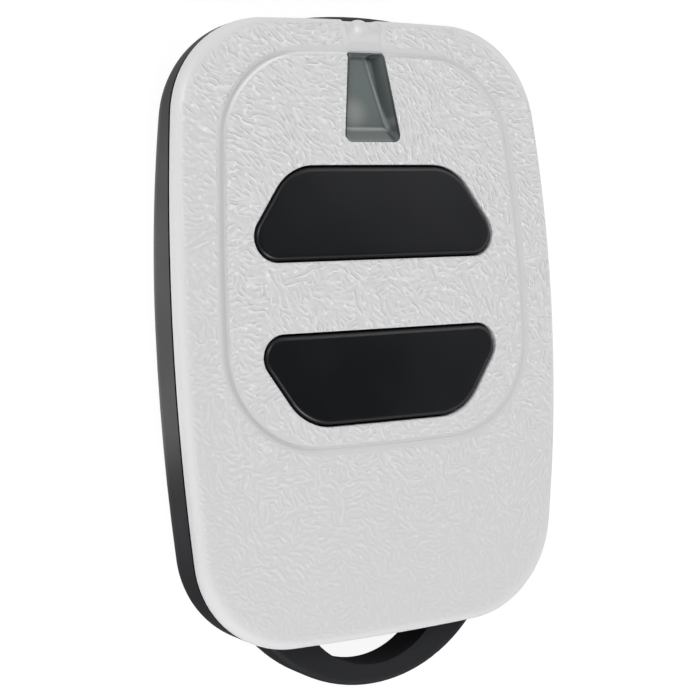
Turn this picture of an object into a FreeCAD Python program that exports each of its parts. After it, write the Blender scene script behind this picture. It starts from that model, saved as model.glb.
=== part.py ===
import FreeCAD, Part
import math
import os
from FreeCAD import Vector as V

# Two-button garage door remote, lying on its back. Millimetres.
# +Z points out of the button face, +Y to the indicator window, +X to the right.
# Origin: centre of the case outline, on the flat of the back.

# Case, seen from the front
BODY_LEN = 62.0            # without the key-ring loop
BODY_WIDTH = 43.4          # at the widest place
WIDEST_Y = 0.7             # where the bowed sides are widest
SIDE_BOW_R = 228.0         # bow of the long sides
TOP_BOW_R = 440.0          # bow of the window end
BOTTOM_BOW_R = 510.0       # bow of the loop end
TOP_CORNER_R = 10.3
BOTTOM_CORNER_R = 10.2

# Case, seen from the side
THICKNESS = 9.6            # flat of the back to the crown of the face
FACE_R = 285.0             # doming of the face
FACE_CROWN_Y = -4.5        # highest place of the dome
FACE_EDGE_R = 1.1          # rounded rim of the face
BACK_EDGE_R = 3.1          # rounded edge of the back
BACK_FLAT_END_Y = 1.0      # the back is flat up to here, then sweeps up
BACK_SWEEP_R = 225.0
JOINT_DROP = 2.8           # the joint between the shells, below the crown
JOINT_R = 1000.0           # the joint follows a long arc
JOINT_CROWN_Y = -13.7
SEAM_WIDTH = 0.35          # shadow line between the shells
SEAM_DEPTH = 0.3

# Walls
FRONT_WALL = 1.5           # thickness of the face plate
SIDE_WALL = 1.6
REAR_WALL = 1.3

# Groove line round the button panel
GROOVE_WIDTH = 0.34
GROOVE_DEPTH = 0.16
GROOVE_SLOPE = 0.6         # the face slopes down to the groove from outside
GROOVE_LIP = 0.14          # broken edge on its inner side
PANEL_SIDE_GAP = 4.4       # groove to the sides of the case, at the widest place
PANEL_WIDEST_Y = -1.2
PANEL_SIDE_R = 214.0
PANEL_END_GAP = 3.34       # groove to the window end of the case
PANEL_TOP_R = 272.0
PANEL_LEN = 39.1
PANEL_BOTTOM_R = 241.0
PANEL_TOP_CORNER_R = 8.4
PANEL_BOTTOM_CORNER_R = 9.6

# Button openings: half widths and corner radii of each
UPPER_HALVES = (9.58, 16.03)        # at its top edge, at its bottom edge
UPPER_CORNERS = (5.16, 2.47)
UPPER_LEN = 9.42
LOWER_HALVES = (15.49, 9.27)
LOWER_CORNERS = (2.29, 5.54)
LOWER_LEN = 9.37
BUTTONS_IN = 14.58         # top of the upper opening, in from the window end
BUTTONS_APART = 6.85       # bridge between the two openings
OPENING_EDGE = 0.12        # broken edge of the openings
BUTTON_GAP = 0.22          # all round a button
BUTTON_RECESS = 0.05       # button face below the shell face
BUTTON_EDGE_R = 0.45       # rounded rim of a button
BUTTON_WALL = 1.1
BUTTON_ROOF = 1.3
FLANGE_REACH = 1.1         # the flange stands out under the face plate
FLANGE_THICK = 0.75
FLANGE_GAP = 0.3           # room beside the flange
FLANGE_SEAT_Z = 7.3        # flat seat under the face plate
PRESS_TRAVEL = 0.25
POST_R = 1.5               # post under a button that meets its switch
RIB_THICK = 0.7

# Indicator window and its light pipe
WINDOW_END_GAP = 3.42      # window to the end of the case
WINDOW_LEN = 8.91
WINDOW_HALF_TOP = 2.09
WINDOW_HALF_BOTTOM = 3.3
WINDOW_CORNER_R = 0.78
PIPE_FIT = 0.05
PIPE_RIM = 0.14            # rim that is left round the basin
BASIN_DEPTH = 1.2
BASIN_SIDE_RUN = 0.8
BASIN_BOTTOM_RUN = 1.3
PIPE_FLANGE = 0.8
PIPE_BOTTOM_Z = 5.95

# Scoop and nub between the window and the rim, tab below it
SCOOP_HALF = 2.2           # half width of the hollow
SCOOP_DEPTH = 0.06         # where its level floor turns down over the rim
SCOOP_RIM_R = 2.4
SCOOP_RIM_IN = 2.36        # the turn, in from the end of the case
SCOOP_EDGE_R = 0.5
NUB_R = 1.35
NUB_PROUD = 0.14           # above the face; most of the ball lies in the wall
NUB_END_GAP = 1.3
TAB_R = 45.0
TAB_PROUD = 0.54
TAB_BOTTOM_Z = 3.1
TAB_TOP_Z = 5.3
TAB_EDGE = 0.4

# Key-ring loop
LOOP_R = 16.3
LOOP_CENTRE_IN = 10.65     # centre of the loop's outer arc, in from the end
LOOP_FRONT_Z = 5.0
LOOP_BACK_Z = 0.8
LOOP_EDGE_R = 0.7
HOLE_R = 8.8
HOLE_CENTRE_IN = 5.3
HOLE_WALL_IN = 1.05        # end wall of the rear shell in the hole
HOLE_CORNER_R = 0.8

# Circuit board
BOARD_THICK = 0.8
BOARD_BOTTOM_Z = 4.9
BOARD_GAP = 0.4            # to the side walls
BOARD_TOP_IN = 7.8         # ends of the board, in from the ends of the case
BOARD_BOTTOM_IN = 3.0
BOARD_TOP_CORNER_R = 3.5
PIN_R = 0.9                # locating pins of the rear shell
PIN_GAP = 0.12
PIN_SIDE_GAP = 4.1         # pins to the sides and the ends of the board
PIN_TOP_GAP = 4.2
PIN_BOTTOM_GAP = 7.5
BOSS_R = 1.9               # shoulders that carry the board
CLAMP_R = 1.3              # posts of the front shell that hold it down
CLAMP_SIDE_GAP = 2.1       # posts to the sides of the board
CLAMP_KEY_GAP = 3.7        # lower pair, below the lower button
PIN_TOP_PROUD = 0.6

# Snap hooks of the front shell, beside the two buttons
HOOK_WIDTH = 4.0
HOOK_THICK = 0.8
HOOK_REACH = 1.7           # below the joint
HOOK_GAP = 0.1             # to the wall of the rear shell
NOSE_OUT = 0.42
NOSE_HEIGHT = 0.7
POCKET_GAP = 0.08          # round the nose
NOTCH_GAP = 0.2            # board round the hook

# Button cell, 20 x 3.2
CELL_R = 10.0
CELL_THICK = 3.2
CELL_IN = 16.5             # centre, in from the loop end of the case
CELL_CAP_R = 8.9
CELL_CAP_STEP = 0.45
CELL_SKIN = 0.25
CELL_EDGE = 0.35
GASKET_WIDTH = 0.45
CONTACT_THICK = 0.2
CLIP_WIDTH = 5.0
CLIP_GAP = 0.25
CLIP_FOOT = 1.2
CONTACT_R = 3.2
NEST_GAP = 0.35            # ring wall that keeps the cell in place
NEST_WALL = 0.8
NEST_TOP_Z = 3.3

# Push switches on the board
SWITCH_SIDE = 5.2
SWITCH_HEIGHT = 1.5        # board to the top of the plunger
SWITCH_BASE_H = 0.75
SWITCH_FLOOR = 0.25
SWITCH_COVER_T = 0.12
SWITCH_CORNER = 0.5
WELL_R = 1.9
DOME_R = 1.75
DOME_RISE = 0.32
DOME_SKIN = 0.06
PLUNGER_R = 1.0
PLUNGER_GAP = 0.1
TERMINAL_W = 0.8
TERMINAL_T = 0.15
TERMINAL_REACH = 0.7
TERMINAL_PITCH = 3.2

# Small parts on the board: x, y, length, width, height
# y counts from the middle between the buttons, or from the loop end of the board
LED_IN = 6.78              # below the top of the window
LED_SIZE = (1.6, 0.8, 0.25)
LED_LENS = (1.1, 0.8, 0.32)
CONTROLLER = (-3.2, 0.0, 4.4, 3.0, 0.95)
TRANSMITTER = (4.2, 9.6, 4.0, 4.0, 0.8)
RESONATOR = (-3.6, 8.8, 3.2, 2.5, 0.75)
PIN_PITCH = 0.65
LEAD_REACH = 0.9
LEAD_W = 0.24
LEAD_T = 0.13
TRIMMER = (-9.4, 9.4, 3.0, 3.6, 0.6)
TRIMMER_ROTOR_R = 1.15
TRIMMER_ROTOR_H = 0.35
KEY_CAPACITORS = (4.2, 6.6)          # x, in the row between the buttons
KEY_RESISTORS = (9.0, 11.4)
END_CAPACITORS = ((9.3, 13.2), (9.3, 10.4), (-1.0, 5.0), (2.0, 4.2))
END_RESISTORS = ((5.0, 4.2), (-6.0, 13.0))
CHIP_PART = (1.0, 1.6, 0.45)
CHIP_END = 0.3
TRACE_WIDTH = 1.2
TRACE_THICK = 0.08
TRACE_GAP = 1.1            # antenna trace to the edge of the board
TRACE_POST_GAP = 0.6       # its ends stop below the lower clamp posts
TRACE_PIN_GAP = 0.6

# Derived heights and places
HALF_LEN = BODY_LEN / 2
HALF_WIDTH = BODY_WIDTH / 2
BOARD_TOP_Z = BOARD_BOTTOM_Z + BOARD_THICK
CELL_TOP_Z = BOARD_BOTTOM_Z - CONTACT_THICK
CELL_BOTTOM_Z = CELL_TOP_Z - CELL_THICK
CLIP_BOTTOM_Z = CELL_BOTTOM_Z - CONTACT_THICK
SWITCH_TOP_Z = BOARD_TOP_Z + SWITCH_HEIGHT
WINDOW_TOP_Y = HALF_LEN - WINDOW_END_GAP
WINDOW_BOTTOM_Y = WINDOW_TOP_Y - WINDOW_LEN
NUB_Y = HALF_LEN - NUB_END_GAP
LOOP_CENTRE_Y = -HALF_LEN + LOOP_CENTRE_IN
HOLE_CENTRE_Y = -HALF_LEN + HOLE_CENTRE_IN
HOLE_WALL_Y = -HALF_LEN + HOLE_WALL_IN
BOARD_HALF = HALF_WIDTH - SIDE_WALL - BOARD_GAP
BOARD_TOP_Y = HALF_LEN - BOARD_TOP_IN
BOARD_BOTTOM_Y = -HALF_LEN + BOARD_BOTTOM_IN
UPPER_TOP_Y = HALF_LEN - BUTTONS_IN
LOWER_TOP_Y = UPPER_TOP_Y - UPPER_LEN - BUTTONS_APART
UPPER = dict(top=UPPER_TOP_Y, bottom=UPPER_TOP_Y - UPPER_LEN, half_top=UPPER_HALVES[0],
             half_bottom=UPPER_HALVES[1], r_top=UPPER_CORNERS[0], r_bottom=UPPER_CORNERS[1])
LOWER = dict(top=LOWER_TOP_Y, bottom=LOWER_TOP_Y - LOWER_LEN, half_top=LOWER_HALVES[0],
             half_bottom=LOWER_HALVES[1], r_top=LOWER_CORNERS[0], r_bottom=LOWER_CORNERS[1])
KEY_ROW_Y = (UPPER["bottom"] + LOWER["top"]) / 2
PIN_X = BOARD_HALF - PIN_SIDE_GAP
PIN_YS = (BOARD_TOP_Y - PIN_TOP_GAP, BOARD_BOTTOM_Y + PIN_BOTTOM_GAP)
CLAMP_X = BOARD_HALF - CLAMP_SIDE_GAP
CLAMP_YS = (KEY_ROW_Y, LOWER["bottom"] - CLAMP_KEY_GAP)
CELL_Y = -HALF_LEN + CELL_IN
LED_Y = WINDOW_TOP_Y - LED_IN
CASE = dict(half=HALF_WIDTH, widest=WIDEST_Y, side_r=SIDE_BOW_R, top=HALF_LEN, top_r=TOP_BOW_R,
            bottom=-HALF_LEN, bottom_r=BOTTOM_BOW_R, corner_top=TOP_CORNER_R,
            corner_bottom=BOTTOM_CORNER_R)
PANEL = dict(half=HALF_WIDTH - PANEL_SIDE_GAP, widest=PANEL_WIDEST_Y, side_r=PANEL_SIDE_R,
             top=HALF_LEN - PANEL_END_GAP, top_r=PANEL_TOP_R,
             bottom=HALF_LEN - PANEL_END_GAP - PANEL_LEN, bottom_r=PANEL_BOTTOM_R,
             corner_top=PANEL_TOP_CORNER_R, corner_bottom=PANEL_BOTTOM_CORNER_R)
BOARD = dict(half=BOARD_HALF, widest=WIDEST_Y, side_r=SIDE_BOW_R, top=BOARD_TOP_Y, top_r=TOP_BOW_R,
             bottom=BOARD_BOTTOM_Y, bottom_r=BOTTOM_BOW_R, corner_top=BOARD_TOP_CORNER_R,
             corner_bottom=BOTTOM_CORNER_R - SIDE_WALL)


def meeting(c0, r0, c1, r1, sign_x):
    """The point where two circles cross, on the side of sign_x."""
    dx, dy = c1[0] - c0[0], c1[1] - c0[1]
    d = math.hypot(dx, dy)
    a = (r0 * r0 - r1 * r1 + d * d) / (2 * d)
    h = math.sqrt(r0 * r0 - a * a)
    mx, my = c0[0] + a * dx / d, c0[1] + a * dy / d
    points = ((mx + h * dy / d, my - h * dx / d), (mx - h * dy / d, my + h * dx / d))
    return min(points, key=lambda p: abs(p[0] * sign_x - 1e3))


def upright_edges(solid, z0, z1):
    """Vertical straight edges of a prism between two heights."""
    found = []
    for e in solid.Edges:
        b = e.BoundBox
        if b.XLength < 1e-3 and b.YLength < 1e-3 and b.ZLength > 0.5 * (z1 - z0):
            found.append(e)
    return found


def bowed_prism(o, inset, z0, z1):
    """Prism over a bowed, round-cornered outline, inset all round."""
    half, side_r = o["half"] - inset, o["side_r"] - inset
    top, top_r = o["top"] - inset, o["top_r"] - inset
    bottom, bottom_r = o["bottom"] + inset, o["bottom_r"] - inset
    side_c = (half - side_r, o["widest"])
    tr = meeting(side_c, side_r, (0, top - top_r), top_r, 1)
    br = meeting(side_c, side_r, (0, bottom + bottom_r), bottom_r, 1)
    # the crossing near the outline's own corner
    tr = tr if tr[1] > 0 else (tr[0], -tr[1])
    right = Part.Arc(V(br[0], br[1], z0), V(half, o["widest"], z0), V(tr[0], tr[1], z0))
    upper = Part.Arc(V(tr[0], tr[1], z0), V(0, top, z0), V(-tr[0], tr[1], z0))
    left = Part.Arc(V(-tr[0], tr[1], z0), V(-half, o["widest"], z0), V(-br[0], br[1], z0))
    lower = Part.Arc(V(-br[0], br[1], z0), V(0, bottom, z0), V(br[0], br[1], z0))
    wire = Part.Wire([a.toShape() for a in (right, upper, left, lower)])
    solid = Part.Face(wire).extrude(V(0, 0, z1 - z0))
    edges = upright_edges(solid, z0, z1)
    high = [e for e in edges if e.CenterOfMass.y > o["widest"]]
    low = [e for e in edges if e.CenterOfMass.y <= o["widest"]]
    solid = solid.makeFillet(max(o["corner_top"] - inset, 0.3), high)
    low = [e for e in upright_edges(solid, z0, z1)
           if any(e.CenterOfMass.distanceToPoint(k.CenterOfMass) < 0.01 for k in low)]
    return solid.makeFillet(max(o["corner_bottom"] - inset, 0.3), low)


def rounded_wire(points, radii, z):
    """Closed wire through corner points, each corner rounded."""
    n = len(points)
    arcs = []
    for i in range(n):
        p = V(points[i][0], points[i][1], z)
        a = V(points[i - 1][0], points[i - 1][1], z) - p
        b = V(points[(i + 1) % n][0], points[(i + 1) % n][1], z) - p
        a.normalize()
        b.normalize()
        half = a.getAngle(b) / 2
        reach = radii[i] / math.tan(half)
        mid = a + b
        mid.normalize()
        centre = p + mid * (radii[i] / math.sin(half))
        arcs.append((p + a * reach, centre - mid * radii[i], p + b * reach))
    edges = []
    for i in range(n):
        edges.append(Part.Arc(*arcs[i]).toShape())
        edges.append(Part.LineSegment(arcs[i][2], arcs[(i + 1) % n][0]).toShape())
    return Part.Wire(edges)


def trapezoid(s, grow, z):
    """Wire of a four-cornered opening, grown or shrunk all round."""
    tilt = math.atan2(s["half_bottom"] - s["half_top"], s["top"] - s["bottom"])
    slant = grow / math.cos(tilt)
    top, bottom = s["top"] + grow, s["bottom"] - grow
    half_top = s["half_top"] + slant - grow * math.tan(tilt)
    half_bottom = s["half_bottom"] + slant + grow * math.tan(tilt)
    points = [(-half_top, top), (half_top, top), (half_bottom, bottom), (-half_bottom, bottom)]
    radii = [max(s["r_top"] + grow, 0.25)] * 2 + [max(s["r_bottom"] + grow, 0.25)] * 2
    return rounded_wire(points, radii, z)


def trapezoid_prism(s, grow, z0, z1):
    return Part.Face(trapezoid(s, grow, z0)).extrude(V(0, 0, z1 - z0))


def face_ball(depth):
    """The dome of the face, lowered by depth."""
    r = FACE_R - depth
    return Part.makeSphere(r, V(0, FACE_CROWN_Y, THICKNESS - FACE_R))


def joint_block(drop):
    """Everything below the joint between the shells, lowered by drop."""
    span = BODY_LEN * 1.5
    z = THICKNESS - JOINT_DROP - drop
    log = Part.makeCylinder(JOINT_R, 2 * span, V(-span, JOINT_CROWN_Y, z - JOINT_R), V(1, 0, 0))
    box = Part.makeBox(2 * span, 2 * span, 2 * THICKNESS, V(-span, -span, z - 2 * THICKNESS))
    return log.common(box)


def back_block(raise_by):
    """Everything above the back: flat, then swept up to the window end."""
    z0, far = raise_by, BODY_LEN
    r = BACK_SWEEP_R - raise_by
    reach = far - BACK_FLAT_END_Y
    rise = r - math.sqrt(r * r - reach * reach)
    mid_rise = r - math.sqrt(r * r - reach * reach / 4)
    a = V(-far, -far, z0)
    b = V(-far, BACK_FLAT_END_Y, z0)
    c = V(-far, far, z0 + rise)
    arc = Part.Arc(b, V(-far, BACK_FLAT_END_Y + reach / 2, z0 + mid_rise), c)
    high = z0 + 3 * THICKNESS
    edges = [Part.LineSegment(a, b).toShape(), arc.toShape(),
             Part.LineSegment(c, V(-far, far, high)).toShape(),
             Part.LineSegment(V(-far, far, high), V(-far, -far, high)).toShape(),
             Part.LineSegment(V(-far, -far, high), a).toShape()]
    return Part.Face(Part.Wire(edges)).extrude(V(2 * far, 0, 0))


def rim_edges(solid, high):
    """Edges round the top or the bottom face of the case."""
    faces = sorted(solid.Faces, key=lambda f: f.CenterOfMass.z)
    edges = {}
    if high:
        picked = [faces[-1]]
    else:
        picked = [f for f in faces if f.normalAt(*centre_uv(f)).z < -0.5]
    count = {}
    for f in picked:
        for e in f.Edges:
            count[e.hashCode()] = count.get(e.hashCode(), 0) + 1
            edges[e.hashCode()] = e
    return [edges[k] for k in edges if count[k] == 1]


def centre_uv(face):
    u0, u1, v0, v1 = face.ParameterRange
    return (u0 + u1) / 2, (v0 + v1) / 2


def case_block():
    """The whole case without the loop, both edges rounded."""
    solid = bowed_prism(CASE, 0, -1, THICKNESS + 1)
    solid = solid.common(face_ball(0)).common(back_block(0))
    solid = solid.makeFillet(FACE_EDGE_R, rim_edges(solid, True))
    return solid.makeFillet(BACK_EDGE_R, rim_edges(solid, False))


def face_z(x, y, depth=0.0):
    """Height of the domed face over a place."""
    r = FACE_R - depth
    return THICKNESS - FACE_R + math.sqrt(r * r - x * x - (y - FACE_CROWN_Y) ** 2)


def post(r, x, y, z0, z1):
    return Part.makeCylinder(r, z1 - z0, V(x, y, z0))


def window_shape():
    return dict(top=WINDOW_TOP_Y, bottom=WINDOW_BOTTOM_Y, half_top=WINDOW_HALF_TOP,
                half_bottom=WINDOW_HALF_BOTTOM, r_top=0.12, r_bottom=WINDOW_CORNER_R)


def scoop():
    """Shallow hollow over the window: a level floor that turns down over the rim."""
    y0, y1, r, high = WINDOW_TOP_Y, HALF_LEN - SCOOP_RIM_IN, SCOOP_RIM_R, 2 * THICKNESS
    z = face_z(0, y1) - SCOOP_DEPTH
    at = lambda y, height: V(-SCOOP_HALF, y, height)
    arc = Part.Arc(at(y1, z), at(y1 + r * math.sin(math.pi / 4), z - r + r * math.cos(math.pi / 4)),
                   at(y1 + r, z - r))
    corners = [at(y1 + r, z - r), at(HALF_LEN + r, z - r), at(HALF_LEN + r, high), at(y0, high),
               at(y0, z), at(y1, z)]
    sides = [Part.LineSegment(a, b).toShape() for a, b in zip(corners, corners[1:])]
    tool = Part.Face(Part.Wire([arc.toShape()] + sides)).extrude(V(2 * SCOOP_HALF, 0, 0))
    low = [e for e in tool.Edges if e.BoundBox.XLength < 1e-3 and e.BoundBox.ZMax < z + 0.01
           and e.BoundBox.YMax < y1 + r + 0.01 and e.BoundBox.YLength > 0.1]
    return tool.makeFillet(SCOOP_EDGE_R, low)


def nub():
    """Soft pip on the rim over the window: a ball that sits in the corner of the shell."""
    return Part.makeSphere(NUB_R, V(0, NUB_Y, face_z(0, NUB_Y) + NUB_PROUD - NUB_R))


def edges_on_face(solid, outline):
    """Edges of a solid that lie on the domed face along the walls of an outline prism."""
    walls = [f for f in outline.Faces if abs(f.normalAt(*centre_uv(f)).z) < 0.1]
    found = []
    for e in solid.Edges:
        m = e.valueAt((e.FirstParameter + e.LastParameter) / 2)
        if abs(m.z - face_z(m.x, m.y)) < 0.01:
            if min(Part.Vertex(m).distToShape(w)[0] for w in walls) < 0.005:
                found.append(e)
    return found


def grooved(case):
    """The case with the channel round the button panel: a slope, a floor and a broken lip."""
    outside = bowed_prism(PANEL, 0, 0, THICKNESS + 3)
    inside = bowed_prism(PANEL, GROOVE_WIDTH, -1, THICKNESS + 4)
    solid = case.cut(outside.cut(inside).cut(face_ball(GROOVE_DEPTH)))
    solid = solid.makeChamfer(GROOVE_SLOPE, 0.8 * GROOVE_DEPTH, edges_on_face(solid, outside))
    return solid.makeChamfer(GROOVE_LIP, 0.6 * GROOVE_DEPTH, edges_on_face(solid, inside))


def front_cover(case):
    """Moulded front shell: face plate, side wall, key openings, clamp posts and hooks."""
    shell = grooved(case)
    for s in (UPPER, LOWER):
        opening = trapezoid_prism(s, 0, 0, THICKNESS + 3)
        shell = shell.cut(opening)
        shell = shell.makeChamfer(OPENING_EDGE, edges_on_face(shell, opening))
    shell = shell.cut(joint_block(0))
    room = bowed_prism(CASE, SIDE_WALL, -2, THICKNESS + 2).common(face_ball(FRONT_WALL))
    seat = bowed_prism(PANEL, GROOVE_WIDTH, FLANGE_SEAT_Z, THICKNESS + 3)
    seat_top = UPPER["top"] + 2 * FLANGE_REACH
    seat = seat.cut(Part.makeBox(BODY_WIDTH, BODY_LEN, 2 * THICKNESS, V(-HALF_WIDTH, seat_top, 0)))
    shell = shell.cut(room.cut(seat))
    for s in (UPPER, LOWER):
        shell = shell.cut(trapezoid_prism(s, FLANGE_REACH + FLANGE_GAP, 0, FLANGE_SEAT_Z))
    shell = shell.cut(trapezoid_prism(window_shape(), 0, 0, THICKNESS + 3))
    shell = shell.cut(scoop())
    shell = shell.fuse(nub().cut(room).cut(joint_block(0)))
    for y in CLAMP_YS:
        for side in (-1, 1):
            shell = shell.fuse(post(CLAMP_R, side * CLAMP_X, y, BOARD_TOP_Z, FLANGE_SEAT_Z + 0.4))
    for y in hook_places():
        shell = shell.fuse(snap_hook(y))
    return shell.removeSplitter()


def joint_z(y):
    """Height of the joint between the shells at a place along the case."""
    r = JOINT_R
    return THICKNESS - JOINT_DROP - r + math.sqrt(r * r - (y - JOINT_CROWN_Y) ** 2)


def hook_places():
    """One pair of hooks beside the middle of each button."""
    return [(s["top"] + s["bottom"]) / 2 for s in (UPPER, LOWER)]


def side_band(y, width, outer, inner, z0, z1):
    """Two short pieces that follow the side walls, between two insets of the case."""
    band = bowed_prism(CASE, outer, z0, z1).cut(bowed_prism(CASE, inner, z0 - 1, z1 + 1))
    return band.common(Part.makeBox(2 * BODY_WIDTH, width, 3 * THICKNESS,
                                    V(-BODY_WIDTH, y - width / 2, -THICKNESS)))


def snap_hook(y):
    """A pair of hooks: root under the face plate, blade below the joint, nose turned out."""
    outer, inner = SIDE_WALL + HOOK_GAP, SIDE_WALL + HOOK_GAP + HOOK_THICK
    z0 = joint_z(y) - HOOK_REACH
    blade = side_band(y, HOOK_WIDTH, outer, inner, z0, FLANGE_SEAT_Z + 0.3)
    root = side_band(y, HOOK_WIDTH, SIDE_WALL - 0.3, inner, joint_z(y) + HOOK_GAP, FLANGE_SEAT_Z + 0.3)
    nose = side_band(y, HOOK_WIDTH, outer - NOSE_OUT, inner, z0, z0 + NOSE_HEIGHT)
    tips = [e for e in nose.Edges if e.BoundBox.ZMax < z0 + 0.01 and e.BoundBox.YLength > 0.9 * HOOK_WIDTH
            and abs(e.CenterOfMass.x) > HALF_WIDTH - outer]
    return blade.fuse(root).fuse(nose.makeChamfer(0.7 * NOSE_OUT, tips))


def hook_pocket(y):
    """Pockets in the rear shell's side walls that catch the noses."""
    z0 = joint_z(y) - HOOK_REACH
    return side_band(y, HOOK_WIDTH + 2 * POCKET_GAP, SIDE_WALL + HOOK_GAP - NOSE_OUT - POCKET_GAP,
                     SIDE_WALL + HOOK_GAP, z0 - POCKET_GAP, z0 + NOSE_HEIGHT + POCKET_GAP)


def loop_ring():
    """The strap that a key ring goes round."""
    ring = post(LOOP_R, 0, LOOP_CENTRE_Y, LOOP_BACK_Z, LOOP_FRONT_Z)
    rims = [e for e in ring.Edges if abs(e.BoundBox.ZLength) < 1e-3]
    ring = ring.makeFillet(LOOP_EDGE_R, rims)
    size = 4 * LOOP_R
    root = -HALF_LEN + SIDE_WALL + HOLE_WALL_IN
    return ring.common(Part.makeBox(size, size, THICKNESS, V(-size / 2, root - size, 0)))


def ring_hole():
    """Opening for the key ring, flat on the side of the shell."""
    hole = post(HOLE_R, 0, HOLE_CENTRE_Y, -1, THICKNESS)
    hole = hole.common(Part.makeBox(4 * HOLE_R, 4 * HOLE_R, 2 * THICKNESS,
                                    V(-2 * HOLE_R, HOLE_WALL_Y - 4 * HOLE_R, -2)))
    return hole.makeFillet(HOLE_CORNER_R, upright_edges(hole, -1, THICKNESS))


def pull_tab():
    """Thin lens-shaped tab under the scoop, for prising the shells apart."""
    tab = post(TAB_R, 0, HALF_LEN + TAB_PROUD - TAB_R, TAB_BOTTOM_Z, TAB_TOP_Z)
    tab = tab.makeChamfer(TAB_EDGE, [e for e in tab.Edges if abs(e.BoundBox.ZLength) < 1e-3])
    kept = Part.makeBox(2 * TAB_R, 4, THICKNESS, V(-TAB_R, HALF_LEN - 0.5 * SIDE_WALL, 0))
    return tab.common(kept)


def rear_cover(case):
    """Moulded rear shell with its loop, tongue, board shoulders and pins."""
    body = case.common(joint_block(SEAM_WIDTH))
    tongue = bowed_prism(CASE, SEAM_DEPTH, 0, THICKNESS).common(joint_block(0)).common(back_block(3))
    body = body.fuse(tongue).fuse(loop_ring()).fuse(pull_tab())
    body = body.cut(ring_hole())
    room = bowed_prism(CASE, SIDE_WALL, 0, THICKNESS + 2).common(back_block(REAR_WALL))
    end = HOLE_WALL_Y + SIDE_WALL
    kept = Part.makeBox(2 * BODY_WIDTH, 2 * BODY_LEN, 4 * THICKNESS, V(-BODY_WIDTH, end, -THICKNESS))
    room = room.common(kept)
    room = room.makeChamfer(0.6 * BACK_EDGE_R, rim_edges(room, False))
    body = body.cut(room)
    for x, y in board_pins():
        body = body.fuse(post(BOSS_R, x, y, REAR_WALL / 2, BOARD_BOTTOM_Z))
        body = body.fuse(post(PIN_R, x, y, REAR_WALL / 2, BOARD_TOP_Z + PIN_TOP_PROUD))
    for x in (-CLAMP_X, CLAMP_X):
        for y in CLAMP_YS:
            body = body.fuse(post(CLAMP_R, x, y, REAR_WALL / 2, BOARD_BOTTOM_Z))
    for y in hook_places():
        body = body.cut(hook_pocket(y))
    body = body.fuse(cell_nest())
    return body.common(back_block(0)).removeSplitter()


def cell_nest():
    """Low ring wall round the cell, open where the clip stands."""
    inner = CELL_R + NEST_GAP
    ring = post(inner + NEST_WALL, 0, CELL_Y, REAR_WALL / 2, NEST_TOP_Z)
    ring = ring.cut(post(inner, 0, CELL_Y, 0, THICKNESS))
    gap = CLIP_WIDTH + 4 * NEST_GAP
    return ring.cut(Part.makeBox(4 * CELL_R, gap, THICKNESS, V(-2 * CELL_R, CELL_Y - gap / 2, 0)))


def board_pins():
    return [(side * PIN_X, y) for y in PIN_YS for side in (-1, 1)]


def light_pipe():
    """Smoky light pipe: plug in the window with a sloped basin, and its flange."""
    w = window_shape()
    plug = trapezoid_prism(w, -PIPE_FIT, PIPE_BOTTOM_Z, THICKNESS + 2).common(face_ball(0.02))
    flange = trapezoid_prism(w, PIPE_FLANGE, PIPE_BOTTOM_Z, THICKNESS).common(face_ball(FRONT_WALL))
    pipe = plug.fuse(flange).removeSplitter()
    # the basin lies along the slope of the face
    mid = (WINDOW_TOP_Y + WINDOW_BOTTOM_Y) / 2
    slope = math.degrees(math.asin((mid - FACE_CROWN_Y) / FACE_R))
    run = BASIN_DEPTH
    up = 1.0 + run
    side = BASIN_SIDE_RUN * up / run
    foot = BASIN_BOTTOM_RUN * up / run
    rim = dict(w)
    floor_half_top = w["half_top"] - PIPE_RIM - BASIN_SIDE_RUN
    floor_half_bottom = w["half_bottom"] - PIPE_RIM - BASIN_SIDE_RUN
    low = dict(top=w["top"] - PIPE_RIM, bottom=w["bottom"] + PIPE_RIM + BASIN_BOTTOM_RUN,
               half_top=floor_half_top, half_bottom=floor_half_bottom, r_top=0.1, r_bottom=0.2)
    high = dict(top=rim["top"] - PIPE_RIM, bottom=low["bottom"] - foot,
                half_top=floor_half_top + side, half_bottom=floor_half_bottom + side,
                r_top=0.1, r_bottom=WINDOW_CORNER_R)
    z = face_z(0, mid) - BASIN_DEPTH
    basin = Part.makeLoft([trapezoid(low, 0, z), trapezoid(high, 0, z + up)], True, True)
    basin.rotate(V(0, mid, z + run), V(1, 0, 0), -slope)
    pipe = pipe.cut(basin)
    pocket = Part.makeBox(LED_SIZE[0] + 0.6, LED_SIZE[1] + 0.6, 0.6,
                          V(-LED_SIZE[0] / 2 - 0.3, LED_Y - LED_SIZE[1] / 2 - 0.3, PIPE_BOTTOM_Z - 0.1))
    return pipe.cut(pocket)


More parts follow.
